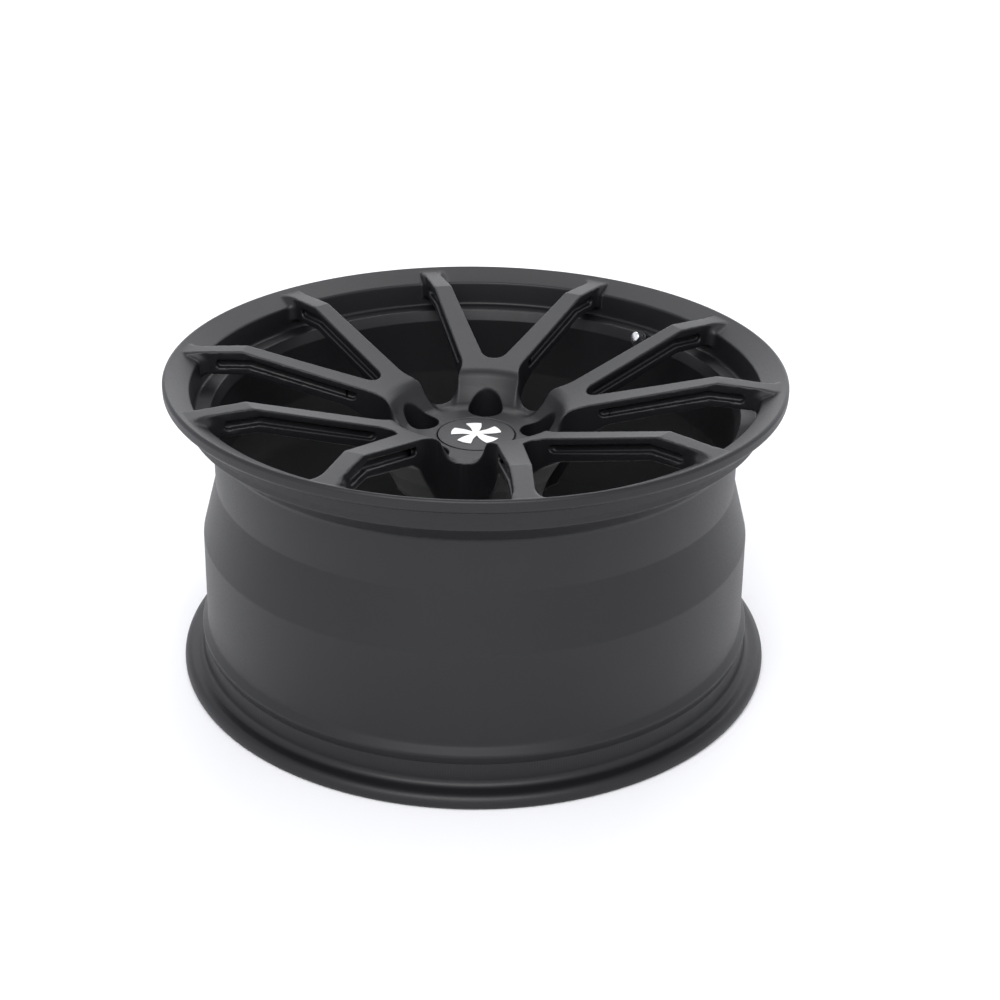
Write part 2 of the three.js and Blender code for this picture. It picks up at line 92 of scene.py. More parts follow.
def rounded(corners):
    """Closed outline from (x, y) or (x, y, radius) corners; a radius turns its corner into an arc."""
    outline = []
    count = len(corners)
    for i, corner in enumerate(corners):
        here = np.array(corner[:2], float)
        radius = corner[2] if len(corner) > 2 else 0
        if not radius:
            outline.append(here)
            continue
        before = np.array(corners[i - 1][:2], float) - here
        after = np.array(corners[(i + 1) % count][:2], float) - here
        before /= np.linalg.norm(before)
        after /= np.linalg.norm(after)
        half = math.acos(np.clip(before @ after, -1, 1)) / 2
        middle = before + after
        middle /= np.linalg.norm(middle)
        centre = here + middle * radius / math.sin(half)
        start = here + before * radius / math.tan(half) - centre
        end = here + after * radius / math.tan(half) - centre
        sweep = math.atan2(start[0] * end[1] - start[1] * end[0], start @ end)
        steps = max(4, round(abs(sweep) * (3 + radius)))
        for k in range(steps + 1):
            angle = sweep * k / steps
            turn = np.array([[math.cos(angle), -math.sin(angle)], [math.sin(angle), math.cos(angle)]])
            outline.append(centre + turn @ start)
    return np.array(outline)


# ---- Turned sections, as (radius, depth below the face plane) ----
UNDERSIDE = [
    (HUB_RADIUS, face_depth(HUB_RADIUS) + SPOKE_THICKNESS, 25), (103, 60.5, 18), (88, 84, 30),
    (77, 105), (76, MOUNT_DEPTH, 0.8),
]
PILLAR_TOP = rounded([
    (59.9, 75), (79.4, 39.6, 16), (KINK_RADIUS, KINK_DEPTH, 0.7), (320, face_depth(320)),
    (320, 200), (59.9, 200),
])
HUB_TOP = rounded([
    (-20, PAD_DEPTH), (63.9, PAD_DEPTH, 8), (106, PAD_DEPTH - 0.6 * (106 - 63.9), 12), (114, 60),
    (114, 200), (-20, 200),
])
DISC_BACK = rounded([
    (35.1, -50), (268, -50), (268, 2.6), (251.5, 12), (251.5, 32), (247.6, 32), (247.4, UNDERSIDE_DEPTH, 5),
    (206, UNDERSIDE_DEPTH, 6), *UNDERSIDE, (33.3, MOUNT_DEPTH, 1.5), (33.3, 78, 0.3), (30.6, 78, 0.8),
    (30.6, 71.6, 0.4), (35.1, 71.6, 0.3),
])
WALL_OUTLINE = [
    (266.6, 1), (248.9, lip_depth(248.9), 3), (246.6, 33, 2.6), (232.8, 33.5, 1.1), (228.3, 43.6, 1.0),
]
RING_SECTION = rounded([
    (300, lip_depth(300)), *WALL_OUTLINE, (228.3, 130), (300, 130),
])
FLANGE_THICKNESS = 11.75
BACK = WIDTH - FLANGE_THICKNESS
TYRE_SIDE = [
    (FLANGE_RADIUS, WIDTH, 3.1), (FLANGE_RADIUS, BACK, 7.6), (254.2, BACK, 6.3), (251.8, 246.5, 2.5),
    (253.4, 238.5, 3.5), (248.2, 231, 5), (246.1, 148, 12), (232.3, 98.5, 9), (232.3, 52.5, 8),
    (253.2, 33.8, 2.4), (252.8, 28, 5), (254.2, FLANGE_THICKNESS, 6.3),
    (FLANGE_RADIUS, FLANGE_THICKNESS, 4.4), (FLANGE_RADIUS, 0, 2.9), (268.4, 0, 0.1),
]
BARREL_SECTION = rounded([
    *WALL_OUTLINE, (228.3, 99, 20), (241.6, 150, 60), (242.8, 222, 25), (247.6, 240, 20), (248.8, 262, 8),
    (252.8, 270, 6), (264.4, WIDTH, 1.8), *TYRE_SIDE,
])
LUG_SECTION = rounded([
    (-15.5, -60), (15.5, -60), (15.5, 92, 0.8), (11.9, 92, 0.4), (7.25, 100), (7.25, 140),
    (-7.25, 140), (-7.25, 100), (-11.9, 92, 0.4), (-15.5, 92, 0.8),
])
POCKET_LINE = [
    (112.8, face_depth(112.8) + 10), (204, face_depth(204) + 10), (230.4, 13.1),
]
POCKET_HALF_HEIGHT = 3.7
POCKET_SIDE_DEPTH = 5


# ---- Distance fields: negative inside the metal ----
def polygon_distance(outline, x, y):
    return polygon_nearest(outline, x, y)[0]


def polygon_nearest(outline, x, y):
    """Signed distance to an outline, and the number of its nearest side."""
    shape = np.broadcast(x, y).shape
    nearest = np.full(shape, np.inf)
    nearest_side = np.zeros(shape, np.int32)
    inside = np.zeros(shape, bool)
    for side, ((ax, ay), (bx, by)) in enumerate(zip(outline, np.roll(outline, -1, axis=0))):
        along_x, along_y = bx - ax, by - ay
        from_x, from_y = x - ax, y - ay
        part = np.clip((from_x * along_x + from_y * along_y) / (along_x ** 2 + along_y ** 2), 0, 1)
        distance = (from_x - along_x * part) ** 2 + (from_y - along_y * part) ** 2
        nearest_side = np.where(distance < nearest, side, nearest_side)
        nearest = np.minimum(nearest, distance)
        if ay != by:
            crosses = ((ay <= y) != (by <= y)) & (ax + along_x * (y - ay) / along_y > x)
            inside = inside ^ crosses
    return np.where(inside, -1, 1) * np.sqrt(nearest), nearest_side


def polygon_slope(outline, x, y):
    """Signed distance, and how fast it grows along x and along y."""
    distance, side = polygon_nearest(outline, x, y)
    start = outline[side]
    along = np.roll(outline, -1, axis=0)[side] - start
    offset = np.stack([x, y], -1) - start
    part = np.clip((offset * along).sum(-1) / (along ** 2).sum(-1), 0, 1)[:, None]
    away = offset - along * part
    length = np.linalg.norm(away, axis=1)
    ahead = np.roll(outline, -1, axis=0)
    turning = np.sign((outline[:, 0] * ahead[:, 1] - outline[:, 1] * ahead[:, 0]).sum())
    normal = np.stack([along[:, 1], -along[:, 0]], -1) * turning
    normal /= np.linalg.norm(normal, axis=1, keepdims=True)
    close = (length < 1e-3)[:, None]
    slope = np.where(close, normal, away / np.maximum(length, 1e-9)[:, None] * np.sign(distance)[:, None])
    return distance, slope[:, 0], slope[:, 1]


def line_distance(points, x, y):
    nearest = np.inf
    for (ax, ay), (bx, by) in zip(points[:-1], points[1:]):
        along_x, along_y = bx - ax, by - ay
        from_x, from_y = x - ax, y - ay
        part = np.clip((from_x * along_x + from_y * along_y) / (along_x ** 2 + along_y ** 2), 0, 1)
        nearest = np.minimum(nearest, np.hypot(from_x - along_x * part, from_y - along_y * part))
    return nearest


def join_round(a, b, radius):
    corner = np.hypot(np.maximum(radius - a, 0), np.maximum(radius - b, 0))
    return np.maximum(radius, np.minimum(a, b)) - corner


def cut_round(a, b, radius):
    corner = np.hypot(np.maximum(radius + a, 0), np.maximum(radius + b, 0))
    return np.minimum(-radius, np.maximum(a, b)) + corner


def window_distance(across, out, root, lean):
    """A window that opens outwards from a round root, between two edges that lean by the same angle."""
    centre, radius = root
    rise = out - centre
    along = across * math.sin(lean) + rise * math.cos(lean)
    beside = across * math.cos(lean) - rise * math.sin(lean)
    return np.where(along > 0, beside, np.hypot(across, rise)) - radius


def disc_distance(r, t, d, pillar_top, hub_top, back, ring):
    across, out = np.abs(r * np.sin(t)), r * np.cos(t)
    gap_across, gap_out = np.abs(r * np.sin(HALF_PERIOD - t)), r * np.cos(HALF_PERIOD - t)
    pair_window = window_distance(across, out, PAIR_ROOT, INNER_LEAN)
    gap_window = window_distance(gap_across, gap_out, GAP_ROOT, HALF_PERIOD - OUTER_LEAN)
    pair_window = cut_round(pair_window, -ring, WALL_FILLET)
    gap_window = cut_round(gap_window, -ring, WALL_FILLET)
    flare = (across - 76.4 - (out - 197) * math.tan(OUTER_LEAN)) * math.cos(OUTER_LEAN)
    arm = join_round(across - ARM_HALF_WIDTH, flare, 15)
    pillar = cut_round(pillar_top, arm, 3)
    disc = join_round(pillar, hub_top, 10)
    disc = cut_round(disc, back, EDGE)
    disc = cut_round(disc, -pair_window, EDGE)
    disc = cut_round(disc, -gap_window, EDGE)
    slot = line_distance(POCKET_LINE, r, d) - POCKET_HALF_HEIGHT
    pocket = cut_round(slot, np.minimum(pair_window, gap_window) - POCKET_SIDE_DEPTH, 1.5)
    disc = cut_round(disc, -pocket, 0.7)
    lug = polygon_distance(LUG_SECTION, np.hypot(across, out - LUG_CIRCLE), d)
    return cut_round(disc, -lug, 1.0)


VALVE_AZIMUTH = math.radians(54)
VALVE_LEAN = math.radians(25)
VALVE_RADIUS, VALVE_DEPTH = 230.8, 38
VALVE_HOLE_DEPTH = 9.5            # the seal hides the rest of the hole
VALVE_REACH = 25


def valve_cut_distance(r, t, d):
    """The valve's spot face and hole, in the gap window that t = HALF_PERIOD runs through."""
    across, out = r * np.sin(HALF_PERIOD - t), r * np.cos(HALF_PERIOD - t) - VALVE_RADIUS
    rise = VALVE_DEPTH - d
    along = -out * math.cos(VALVE_LEAN) + rise * math.sin(VALVE_LEAN)
    beside = np.hypot(across, out * math.sin(VALVE_LEAN) + rise * math.cos(VALVE_LEAN))
    spot = cut_round(beside - 11, -2.5 - along, 0.6)
    return np.minimum(spot, cut_round(beside - 5.8, -VALVE_HOLE_DEPTH - along, 0.3))


def fold(t):
    return HALF_PERIOD - np.abs(HALF_PERIOD - np.abs(t))


def metal_distance(r, t, d, valve, sections):
    """Distance to the forging's surface, from the distances to its turned sections at the same (r, d)."""
    t = fold(t)
    ring = sections[-1]
    metal = np.minimum(disc_distance(r, t, d, *sections), ring)
    if valve:
        metal = cut_round(metal, -valve_cut_distance(r, t, d), 0.6)
    return metal


DISC_OUTLINES = [PILLAR_TOP, HUB_TOP, DISC_BACK]
CHUNK = 8192


def metal_slope(r, t, d, valve, ring_section, reach=0.05):
    """Distance to the surface, and how fast it grows along the radius, round the axis, and with depth."""
    results = []
    for start in range(0, len(r), CHUNK):
        part = slice(start, start + CHUNK)
        r1, t1, d1 = r[part], t[part], d[part]
        slopes = [polygon_slope(outline, r1, d1) for outline in (*DISC_OUTLINES, ring_section)]

        def moved(by_r, by_t, by_d):
            sections = [value + slope_r * by_r + slope_d * by_d for value, slope_r, slope_d in slopes]
            return metal_distance(r1 + by_r, t1 + by_t, d1 + by_d, valve, sections)

        turn = reach / r1
        results.append(np.stack([
            moved(0, 0, 0),
            (moved(reach, 0, 0) - moved(-reach, 0, 0)) / (2 * reach),
            (moved(0, turn, 0) - moved(0, -turn, 0)) / (2 * reach),
            (moved(0, 0, reach) - moved(0, 0, -reach)) / (2 * reach),
        ], -1))
    return np.concatenate(results)


# ---- Surface of the milled side, one half period at a time ----
COLUMNS = 84
CELL = 1.35
KEPT_SHARE = 0.26     # of the triangles
radii = np.arange(29, 266.8, CELL)
depths = np.arange(-2.2, MOUNT_DEPTH + 2 * CELL, CELL)
step = HALF_PERIOD / COLUMNS
angles = (np.arange(COLUMNS + 2) - 0.5) * step


def half_surface(valve):
    """Surface nets: one vertex per cell that the surface crosses, one quad per grid edge that it crosses."""
    r, t, d = radii[:, None, None], angles[None, :, None], depths[None, None, :]
    sections = [polygon_distance(outline, r, d) for outline in (*DISC_OUTLINES, RING_SECTION)]
    grid = metal_distance(r, t, d, valve, sections)
    solid = grid < 0
    nr, nt, nd = (n - 1 for n in grid.shape)
    total = np.zeros((nr, nt, nd, 3))
    hits = np.zeros((nr, nt, nd))
    base = np.stack(np.meshgrid(np.arange(nr), np.arange(nt), np.arange(nd), indexing="ij"), -1)
    for axis in range(3):
        others = [a for a in range(3) if a != axis]
        for offset in ((0, 0), (0, 1), (1, 0), (1, 1)):
            low = [slice(0, n) for n in (nr, nt, nd)]
            for other, o in zip(others, offset):
                low[other] = slice(o, o + (nr, nt, nd)[other])
            high = list(low)
            high[axis] = slice(1, 1 + (nr, nt, nd)[axis])
            a, b = grid[tuple(low)], grid[tuple(high)]
            crossed = solid[tuple(low)] != solid[tuple(high)]
            part = np.where(crossed, a / np.where(crossed, a - b, 1), 0)
            place = np.zeros(base.shape)
            place[..., axis] = part
            for other, o in zip(others, offset):
                place[..., other] = o
            total += np.where(crossed[..., None], place, 0)
            hits += crossed
    used = hits > 0
    cells = base[used]
    place = cells + total[used] / hits[used][:, None]
    r = radii[0] + place[:, 0] * CELL
    t = angles[0] + place[:, 1] * step
    d = depths[0] + place[:, 2] * CELL
    on_mirror = (cells[:, 1] == 0) | (cells[:, 1] == COLUMNS)
    for _ in range(3):
        value, along_r, around, along_d = metal_slope(r, t, d, valve, RING_SECTION).T
        move = -value / np.maximum(along_r ** 2 + around ** 2 + along_d ** 2, 0.2)
        move = np.clip(move, -CELL / 2, CELL / 2)
        r = r + along_r * move
        t = np.where(on_mirror, t, t + around * move / r)
        d = d + along_d * move
    number = np.full((nr, nt, nd), -1)
    number[used] = np.arange(len(cells))
    quads = []
    for axis in range(3):
        b, c = (axis + 1) % 3, (axis + 2) % 3
        size = [nr, nt, nd]
        low = [slice(1, n) for n in size]
        low[axis] = slice(0, size[axis])
        high = list(low)
        high[axis] = slice(1, size[axis] + 1)
        a, z = solid[tuple(low)], solid[tuple(high)]
        for flip in (False, True):
            where = np.argwhere((a & ~z) if not flip else (~a & z))
            where[:, b] += 1
            where[:, c] += 1
            corners = []
            for ob, oc in ((-1, -1), (0, -1), (0, 0), (-1, 0)):
                cell = where.copy()
                cell[:, b] += ob
                cell[:, c] += oc
                corners.append(number[tuple(cell.T)])
            quad = np.stack(corners, -1)
            quads.append(quad[:, ::-1] if flip else quad)
    quads = np.concatenate(quads)
    return cells, np.stack([r, t, d], -1), quads[(quads >= 0).all(1)]


# ---- The whole forging: ten half periods, and the plain turned part of the barrel ----
ALL_COLUMNS = 2 * PAIRS * COLUMNS
FIRST_AZIMUTH = math.pi / 2
SEAM_ROW = int((50 - depths[0]) / CELL)
VALVE_HALVES = {(0, 1), (PAIRS - 1, -1)}


def milled_surface():
    """Vertices as (radius, azimuth, depth), the column that each is in, and quads."""
    surfaces = {valve: half_surface(valve) for valve in (False, True)}
    keys, places, quads = [], [], []
    for pair in range(PAIRS):
        for side in (1, -1):
            cells, place, quad = surfaces[(pair, side) in VALVE_HALVES]
            column = (2 * COLUMNS * pair - side * cells[:, 1]) % ALL_COLUMNS
            key = (cells[:, 0] * len(depths) + cells[:, 2]) * ALL_COLUMNS + column
            azimuth = FIRST_AZIMUTH + 2 * HALF_PERIOD * pair - side * place[:, 1]
            below = (cells[:, 2] > SEAM_ROW) & (place[:, 0] > 200)
            kept = quad[~below[quad].any(1)]
            keys.append(key)
            places.append(np.stack([place[:, 0], azimuth, place[:, 2]], -1))
            quads.append(key[kept if side == 1 else kept[:, ::-1]])
    keys, places, quads = np.concatenate(keys), np.concatenate(places), np.concatenate(quads)
    used, quads = np.unique(quads, return_inverse=True)
    quads = quads.reshape(-1, 4)
    order = np.unique(keys, return_index=True)
    index = order[1][np.searchsorted(order[0], used)]
    return places[index], used % ALL_COLUMNS, quads


def open_rings(places, columns, quads):
    """The two open edges of the milled surface, in column order: on the lip, and in the well."""
    edges = np.stack([quads, np.roll(quads, -1, axis=1)], -1).reshape(-1, 2)
    edges = np.sort(edges, axis=1)
    unique, count = np.unique(edges, axis=0, return_counts=True)
    loose = np.unique(unique[count == 1])
    rings = []
    for part in (loose[places[loose, 2] < 20], loose[places[loose, 2] > 20]):
        rings.append(part[np.argsort(columns[part])])
    return rings


def forging_mesh():
    """Closed quad mesh of the whole forging, in millimetres."""
    places, columns, quads = milled_surface()
    lip_ring, well_ring = open_rings(places, columns, quads)
    lip_radius, well_depth = places[lip_ring[0], 0], places[well_ring[0], 2]
    azimuths = FIRST_AZIMUTH + np.arange(ALL_COLUMNS) * step
    first = next(i for i, point in enumerate(BARREL_SECTION) if point[1] > well_depth + 2)
    turned = [p for p in BARREL_SECTION[first:] if p[1] > 5 or p[0] > lip_radius + 0.2]
    rings = [well_ring]
    parts = [places]
    for i, (radius, depth) in enumerate(turned):
        rings.append(len(places) + i * ALL_COLUMNS + np.arange(ALL_COLUMNS))
        parts.append(np.stack([np.full(ALL_COLUMNS, radius), azimuths, np.full(ALL_COLUMNS, depth)], -1))
    rings.append(lip_ring)
    strips = [
        np.stack([near, np.roll(near, -1), np.roll(far, -1), far], -1)
        for near, far in zip(rings[:-1], rings[1:])
    ]
    radius, azimuth, depth = np.concatenate(parts).T
    points = np.stack([radius * np.cos(azimuth), radius * np.sin(azimuth), WIDTH - depth], -1)
    return points, np.concatenate([quads, *strips])


# ---- Pieces of the forging ----
def mesh_from(name, points, faces):
    """A mesh from millimetre points and an array of faces with the same number of corners."""
    mesh = bpy.data.meshes.new(name)
    corners = faces.shape[1]
    mesh.vertices.add(len(points))
    mesh.vertices.foreach_set("co", (points * MM).astype(np.float32).ravel())
    mesh.loops.add(faces.size)
    mesh.loops.foreach_set("vertex_index", faces.astype(np.int32).ravel())
    mesh.polygons.add(len(faces))
    mesh.polygons.foreach_set("loop_start", np.arange(0, faces.size, corners, dtype=np.int32))
    mesh.update(calc_edges=True)
    mesh.validate()
    return mesh


def place(name, mesh, body, slot, nodes):
    piece = bpy.data.objects.new(name, mesh)
    bpy.context.scene.collection.objects.link(piece)
    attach(piece, body)
    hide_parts(*nodes)
    return piece


def polar(points):
    """Radius, angle from the nearest pair's axis, depth, and the number of that pair."""
    azimuth = np.arctan2(points[:, 1], points[:, 0]) - FIRST_AZIMUTH
    pair = np.round(azimuth / (2 * HALF_PERIOD)).astype(int)
    radius = np.hypot(points[:, 0], points[:, 1])
    return radius, azimuth - 2 * HALF_PERIOD * pair, WIDTH - points[:, 2], pair % PAIRS


def near_valve(points):
    x, y = VALVE_RADIUS * math.cos(VALVE_AZIMUTH), VALVE_RADIUS * math.sin(VALVE_AZIMUTH)
    return np.linalg.norm(points - np.array([x, y, WIDTH - VALVE_DEPTH]), axis=1) < VALVE_REACH


def surface_slope(points):
    """Distance to the finished surface, and its slope along X, Y and Z."""
    r, t, d, _ = polar(points)
    slope = metal_slope(r, t, d, False, BARREL_SECTION)
    valve = near_valve(points)
    slope[valve] = metal_slope(r[valve], t[valve], d[valve], True, BARREL_SECTION)
    outward, around, down = slope[:, 1], slope[:, 2], -slope[:, 3]
    cosine, sine = points[:, 0] / r, points[:, 1] / r
    xyz = np.stack([outward * cosine - around * sine, outward * sine + around * cosine, down], -1)
    return slope[:, 0], xyz


def section_distances(points):
    """Radius, and the distances to the turned barrel and to the disc of spokes."""
    r, t, d, _ = polar(points)
    sections = [polygon_distance(outline, r, d) for outline in (*DISC_OUTLINES, RING_SECTION)]
    return r, sections[-1], disc_distance(r, fold(t), d, *sections)


BARREL_FROM, BARREL_ONLY_FROM, BARREL_ONLY_BELOW = 200, 262, 48


def thin_out(points, quads, share):
    """The same surface with fewer triangles, except beside the cuts between the pieces."""
    mesh = mesh_from("forging", points, quads)
    helper = bpy.data.objects.new("forging", mesh)
    bpy.context.scene.collection.objects.link(helper)
    r, ring, disc = section_distances(points)
    between = abs(ring - disc)
    beside_cut = (abs(r - HUB_RADIUS) < 3) | ((between < 2.5) & (between > 0.01) & (r > BARREL_FROM))
    group = helper.vertex_groups.new(name="free")
    group.add(np.flatnonzero(~beside_cut).tolist(), 1.0, "REPLACE")
    reduce = helper.modifiers.new("thin_out", "DECIMATE")
    reduce.ratio = share
    reduce.vertex_group = "free"
    reduce.vertex_group_factor = 100
    result = helper.evaluated_get(bpy.context.evaluated_depsgraph_get()).to_mesh()
    result.calc_loop_triangles()
    points = np.zeros(len(result.vertices) * 3)
    result.vertices.foreach_get("co", points)
    triangles = np.zeros(len(result.loop_triangles) * 3, np.int32)
    result.loop_triangles.foreach_get("vertices", triangles)
    points, triangles = points.reshape(-1, 3) / MM, triangles.reshape(-1, 3)
    bpy.data.objects.remove(helper)
    return points, triangles


def close_cuts(mesh, normals):
    """Caps the cuts between this piece and its neighbours, a little way inside the metal.

    Returns the normals of all the points, old and new.
    """
    work = bmesh.new()
    work.from_mesh(mesh)
    work.verts.ensure_lookup_table()
    loose = [edge for edge in work.edges if edge.is_boundary]
    source = {tuple(vert.co): vert.index for edge in loose for vert in edge.verts}
    skirt = bmesh.ops.extrude_edge_only(work, edges=loose)["geom"]
    added = []
    for vert in skirt:
        if isinstance(vert, bmesh.types.BMVert):
            normal = normals[source[tuple(vert.co)]]
            vert.co -= Vector(normal) * CAP_INSET * MM
            added.append(normal)
    inner = [edge for edge in skirt if isinstance(edge, bmesh.types.BMEdge)]
    made = bmesh.ops.holes_fill(work, edges=inner, sides=0)
    bmesh.ops.triangulate(work, faces=made["faces"])
    work.to_mesh(mesh)
    work.free()
    return np.concatenate([normals, added])


def weighted_normals(points, triangles):
    """Normals in which each triangle counts by its area, so that flats stay flat up to their edges."""
    a, b, c = points[triangles].transpose(1, 0, 2)
    across = np.cross(b - a, c - a)
    normals = np.zeros(points.shape)
    for corner in range(3):
        for axis in range(3):
            normals[:, axis] += np.bincount(triangles[:, corner], across[:, axis], len(points))
    return normals / np.maximum(np.linalg.norm(normals, axis=1, keepdims=True), 1e-9)


def sharpness(points, normals, triangles):
    """How strongly the surface bends outwards at each point: 0 on a flat, 1 on a milled edge."""
    bend = np.zeros(len(points))
    count = np.zeros(len(points))
    for a, b in ((0, 1), (1, 2), (2, 0)):
        start, end = triangles[:, a], triangles[:, b]
        span = points[end] - points[start]
        turn = ((normals[end] - normals[start]) * span).sum(1) / np.maximum((span ** 2).sum(1), 0.01)
        for corner in (start, end):
            bend += np.bincount(corner, turn, len(points))
            count += np.bincount(corner, minlength=len(points))
    return np.clip(bend / np.maximum(count, 1) * EDGE, 0, 1)


BARREL_NODES = [
    "outer_flange", "outer_bead_seat", "drop_centre", "inner_barrel", "inner_bead_seat", "inner_flange",
]


def forging_pieces():
    """The barrel, hub and ten spokes, cut from one smooth surface so that no seam shows."""
    points, quads = forging_mesh()
    points, triangles = thin_out(points, quads, KEPT_SHARE)
    for _ in range(2):
        value, slope = surface_slope(points)
        points -= slope * np.clip(value, -0.6, 0.6)[:, None]
    normals = weighted_normals(points, triangles)
    edge = sharpness(points, normals, triangles)

    middle = points[triangles].mean(1)
    r, t, d, pair = polar(middle)
    _, ring, disc = section_distances(middle)
    barrel = (r > BARREL_FROM) & ((ring < disc + 0.1) | (d > BARREL_ONLY_BELOW) | (r > BARREL_ONLY_FROM))
    hub = ~barrel & (r < HUB_RADIUS)
    groups = {"barrel": barrel, "hub": hub}
    nodes = {"barrel": BARREL_NODES}
    for number in range(2 * PAIRS):
        towards = -1 if number % 2 == 0 else 1
        groups[f"spoke_{number + 1:02d}"] = ~barrel & ~hub & (pair == number // 2) & (t * towards > 0)
    for name, chosen in groups.items():
        used, faces = np.unique(triangles[chosen], return_inverse=True)
        mesh = mesh_from(name, points[used], faces.reshape(-1, 3))
        # The edge measure lightens the coat on convex edges: slight edge wear and a painted edge highlight.
        layer = mesh.attributes.new("edge", "FLOAT", "POINT")
        layer.data.foreach_set("value", edge[used].astype(np.float32))
        shading = close_cuts(mesh, normals[used])
        mesh.polygons.foreach_set("use_smooth", np.ones(len(mesh.polygons), bool))
        mesh.normals_split_custom_set_from_vertices(shading)
        mesh.materials.append(satin_black)
        place(name, mesh, "wheel", "satin_black", nodes.get(name, [name]))


# ---- Turned and drawn pieces, in millimetres along their own axis ----
def hexagon(angle):
    return math.cos(math.pi / 6) / math.cos(angle % (math.pi / 3) - math.pi / 6)


def fluted(angle):
    return 0.965 + 0.035 * math.cos(24 * angle)


def round_section(angle):
    return 1.0


def finished(name, work, body, slot, material, matrix):
    """Places a piece modelled in millimetres, with smooth shading up to its edges."""
    bmesh.ops.recalc_face_normals(work, faces=work.faces)
    bmesh.ops.transform(work, matrix=Matrix.Scale(MM, 4) @ matrix, verts=work.verts)
    mesh = bpy.data.meshes.new(name)
    work.to_mesh(mesh)
    work.free()
    mesh.shade_smooth()
    mesh.set_sharp_from_angle(angle=math.radians(35))
    mesh.materials.append(material)
    return place(name, mesh, body, slot, [name])


def turned(name, outline, body, slot, material, matrix, steps=72):
    """A turned piece from its closed (radius, height) outline; a third value shapes that ring's section."""
    work = bmesh.new()
    rings = []
    for radius, height, *shape in outline:
        section = shape[0] if shape else round_section
        if radius < 1e-6:
            rings.append([work.verts.new((0, 0, height))] * steps)
            continue
        angles = [2 * math.pi * i / steps for i in range(steps)]
        places = [(radius * section(angle), angle) for angle in angles]
        rings.append([work.verts.new((r * math.cos(a), r * math.sin(a), height)) for r, a in places])
    for near, far in zip(rings, rings[1:] + rings[:1]):
        for i in range(steps):
            after = (i + 1) % steps
            corners = list(dict.fromkeys([near[i], near[after], far[after], far[i]]))
            if len(corners) > 2:
                work.faces.new(corners)
    return finished(name, work, body, slot, material, matrix)


ON_AXIS = Matrix.Translation((0, 0, WIDTH))
valve_out = Vector((math.cos(VALVE_AZIMUTH), math.sin(VALVE_AZIMUTH), 0))
valve_axis = -valve_out * math.cos(VALVE_LEAN) + Vector((0, 0, math.sin(VALVE_LEAN)))
VALVE_FOOT = valve_out * VALVE_RADIUS + Vector((0, 0, WIDTH - VALVE_DEPTH))
valve_tilt = Vector((0, 0, 1)).rotation_difference(valve_axis)
ON_VALVE = Matrix.Translation(VALVE_FOOT) @ valve_tilt.to_matrix().to_4x4()

CAP_RADIUS, CAP_LEGS, CAP_SLOT = 34.4, 6, 8


def centre_cap():
    """A flush disc on six sprung legs."""
    work = bmesh.new()
    disc = rounded([(0, -PAD_DEPTH), (CAP_RADIUS, -PAD_DEPTH, 0.5), (CAP_RADIUS, -71.2, 0.3), (0, -71.2)])
    leg = rounded([(28.2, -71), (30.2, -71), (30.2, -83.6, 0.3), (29.4, -85, 0.3), (28.2, -85, 0.3)])
    half_slot = math.asin(CAP_SLOT / 2 / 29.2)
    sectors = [(0, 2 * math.pi, 96, disc)]
    for number in range(CAP_LEGS):
        start = number * 2 * math.pi / CAP_LEGS + math.pi / 2
        sectors.append((start + half_slot, start + 2 * math.pi / CAP_LEGS - half_slot, 12, leg))
    for start, end, steps, outline in sectors:
        closed = end - start > 6
        count = steps if closed else steps + 1
        rows = []
        for i in range(count):
            angle = start + (end - start) * i / steps
            rows.append([work.verts.new((r * math.cos(angle), r * math.sin(angle), z)) for r, z in outline])
        for i in range(steps):
            here, there = rows[i], rows[(i + 1) % count]
            for j in range(len(outline)):
                after = (j + 1) % len(outline)
                work.faces.new([here[j], there[j], there[after], here[after]])
        if not closed:
            work.faces.new(rows[0])
            work.faces.new(rows[-1][::-1])
    bmesh.ops.remove_doubles(work, verts=work.verts, dist=1e-4)
    return finished("centre_cap", work, "centre_cap", "cap_black", cap_black, ON_AXIS)


EMBLEM_RADIUS, EMBLEM_HUB, EMBLEM_NOTCH, EMBLEM_BLADES = 22.5, 4.5, 12, 5
EMBLEM_THICKNESS = 0.5


def cap_emblem():
    """A plain pinwheel of five blades, with softened edges."""
    corners = []
    for blade in range(EMBLEM_BLADES):
        start = blade * 360 / EMBLEM_BLADES
        swept = [(EMBLEM_HUB + (EMBLEM_RADIUS - EMBLEM_HUB) * j / 10, start + 1.5 * j) for j in range(11)]
        rim = [(EMBLEM_RADIUS, start + 15 + 3 * j) for j in range(1, 13)]
        corners += [*swept, *rim, (EMBLEM_NOTCH, start + 50)]
    work = bmesh.new()
    low = -PAD_DEPTH + 0.3
    points = [(r * math.cos(math.radians(a)), r * math.sin(math.radians(a)), low) for r, a in corners]
    base = work.faces.new([work.verts.new(point) for point in points])
    raised = bmesh.ops.extrude_face_region(work, geom=[base], use_keep_orig=True)["geom"]
    top = [item for item in raised if isinstance(item, bmesh.types.BMVert)]
    bmesh.ops.translate(work, verts=top, vec=(0, 0, EMBLEM_THICKNESS))
    rim_edges = [edge for edge in work.edges if all(vert in set(top) for vert in edge.verts)]
    bmesh.ops.bevel(work, geom=rim_edges, offset=0.15, segments=2, affect="EDGES", profile=0.6)
    return finished("cap_emblem", work, "centre_cap", "emblem_white", emblem_white, ON_AXIS)


def wire_circle(radius, height, wire, sides=14):
    angles = [2 * math.pi * i / sides for i in range(sides)]
    return [(radius + wire * math.cos(a), height + wire * math.sin(a)) for a in angles]


SPRING_RADIUS, SPRING_WIRE, SPRING_TURNS, SPRING_LOW, SPRING_HIGH = 1.25, 0.22, 4, -1.6, 3.3


